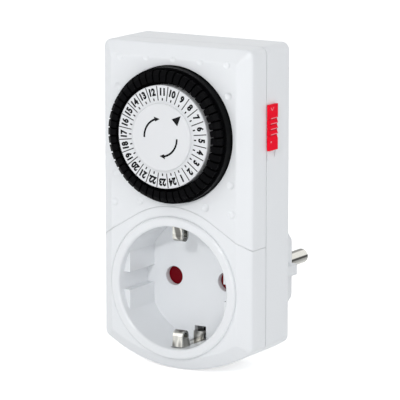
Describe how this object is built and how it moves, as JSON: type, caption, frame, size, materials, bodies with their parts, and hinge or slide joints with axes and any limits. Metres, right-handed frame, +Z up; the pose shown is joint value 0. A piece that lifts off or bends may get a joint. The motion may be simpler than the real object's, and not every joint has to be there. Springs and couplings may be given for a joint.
{
  "type": "plug-in mechanical timer switch",
  "caption": "Plug-in timer switch with a segment dial above a shuttered round-pin socket, a red slide button and a two-pin earthed plug.",
  "frame": {"origin": "middle of the plug's face, halfway between the two pins", "axes": "+Y along the pins into the wall, +Z up towards the dial, +X to the right seen from the front"},
  "size_m": [0.0544, 0.0715, 0.1015],
  "materials": {
    "case": "satin white moulding",
    "dial_black": "fine satin black moulding",
    "face_white": "smooth white with printed hours",
    "slider_red": "satin red moulding",
    "shutter_red": "satin dark red moulding",
    "nickel": "nickel plated",
    "brass": "rolled brass",
    "steel": "drawn steel",
    "gear_tan": "natural gear plastic",
    "frame_grey": "grey moulding",
    "lead_insulation": "lead insulation"
  },
  "bodies": {
    "housing": {"rear_housing": "case", "plug_body": "case", "front_cover": "case", "socket_cover": "case", "socket_insert": "case", "contact_carrier": "frame_grey", "shutter_spring": "steel", "plug_pin_live": "nickel", "plug_pin_neutral": "nickel", "earth_strap_upper": "nickel", "earth_strap_lower": "nickel", "earth_link": "nickel", "neutral_contact": "brass", "live_contact": "brass", "live_bus": "brass", "pointer_disc": "face_white", "dial_axle": "steel", "gear_plate": "frame_grey", "motor_can": "nickel", "gear_axles": "steel", "lever_pin": "steel", "lever_spring": "steel", "housing_screws": "steel", "motor_screws": "steel", "lead_live": "lead_insulation", "lead_neutral": "lead_insulation"},
    "dial": {"dial_carrier": "dial_black", "number_ring": "face_white", "tappet_set": "dial_black"},
    "tappet_a": {"tappet_1": "dial_black"},
    "tappet_b": {"tappet_2": "dial_black"},
    "tappet_c": {"tappet_3": "dial_black"},
    "tappet_d": {"tappet_4": "dial_black"},
    "gear_2": {"reduction_gear_2": "gear_tan"},
    "gear_1": {"reduction_gear_1": "gear_tan"},
    "motor_rotor": {"motor_pinion": "brass"},
    "lever": {"switch_lever": "case", "moving_contact": "brass"},
    "slider": {"override_slider": "slider_red"},
    "shutter": {"safety_shutter": "shutter_red"}
  },
  "joints": [
    {"name": "dial_spin", "type": "hinge", "parent": "housing", "child": "dial", "pos_m": [0, -0.046, 0.048], "axis": [0, 1, 0], "continuous": true},
    {"name": "gear_2_spin", "type": "hinge", "parent": "housing", "child": "gear_2", "pos_m": [-0.01522, -0.036, 0.04246], "axis": [0, 1, 0], "continuous": true},
    {"name": "gear_1_spin", "type": "hinge", "parent": "housing", "child": "gear_1", "pos_m": [-0.0071, -0.034, 0.04389], "axis": [0, 1, 0], "continuous": true},
    {"name": "motor_spin", "type": "hinge", "parent": "housing", "child": "motor_rotor", "pos_m": [-0.0058, -0.033, 0.05128], "axis": [0, 1, 0], "continuous": true},
    {"name": "override_slide", "type": "slide", "parent": "housing", "child": "slider", "axis": [0, 0, 1], "range_m": [-0.0025, 0]},
    {"name": "lever_swing", "type": "hinge", "parent": "housing", "child": "lever", "pos_m": [0.0198, -0.036, 0.037], "axis": [-1, 0, 0], "range_deg": [0, 5], "deforming": ["lever_spring"]},
    {"name": "shutter_swing", "type": "hinge", "parent": "housing", "child": "shutter", "pos_m": [0, -0.027, 0], "axis": [0, 1, 0], "range_deg": [0, 44], "stiffness_Nm_per_rad": 0.0004, "springref_deg": -20.05, "deforming": ["shutter_spring"]},
    {"name": "tappet_a_slide", "type": "slide", "parent": "dial", "child": "tappet_a", "axis": [0, 1, 0], "range_m": [0, 0.0024]},
    {"name": "tappet_b_slide", "type": "slide", "parent": "dial", "child": "tappet_b", "axis": [0, 1, 0], "range_m": [0, 0.0024]},
    {"name": "tappet_c_slide", "type": "slide", "parent": "dial", "child": "tappet_c", "axis": [0, 1, 0], "range_m": [0, 0.0024]},
    {"name": "tappet_d_slide", "type": "slide", "parent": "dial", "child": "tappet_d", "axis": [0, 1, 0], "range_m": [0, 0.0024]}
  ],
  "couplings": [
    {"joint": "gear_2_spin", "follows": "dial_spin", "ratio": -8},
    {"joint": "gear_1_spin", "follows": "dial_spin", "ratio": 36},
    {"joint": "motor_spin", "follows": "dial_spin", "ratio": -144},
    {"joint": "lever_swing", "follows": "override_slide", "rad_per_m": -34.9}
  ]
}
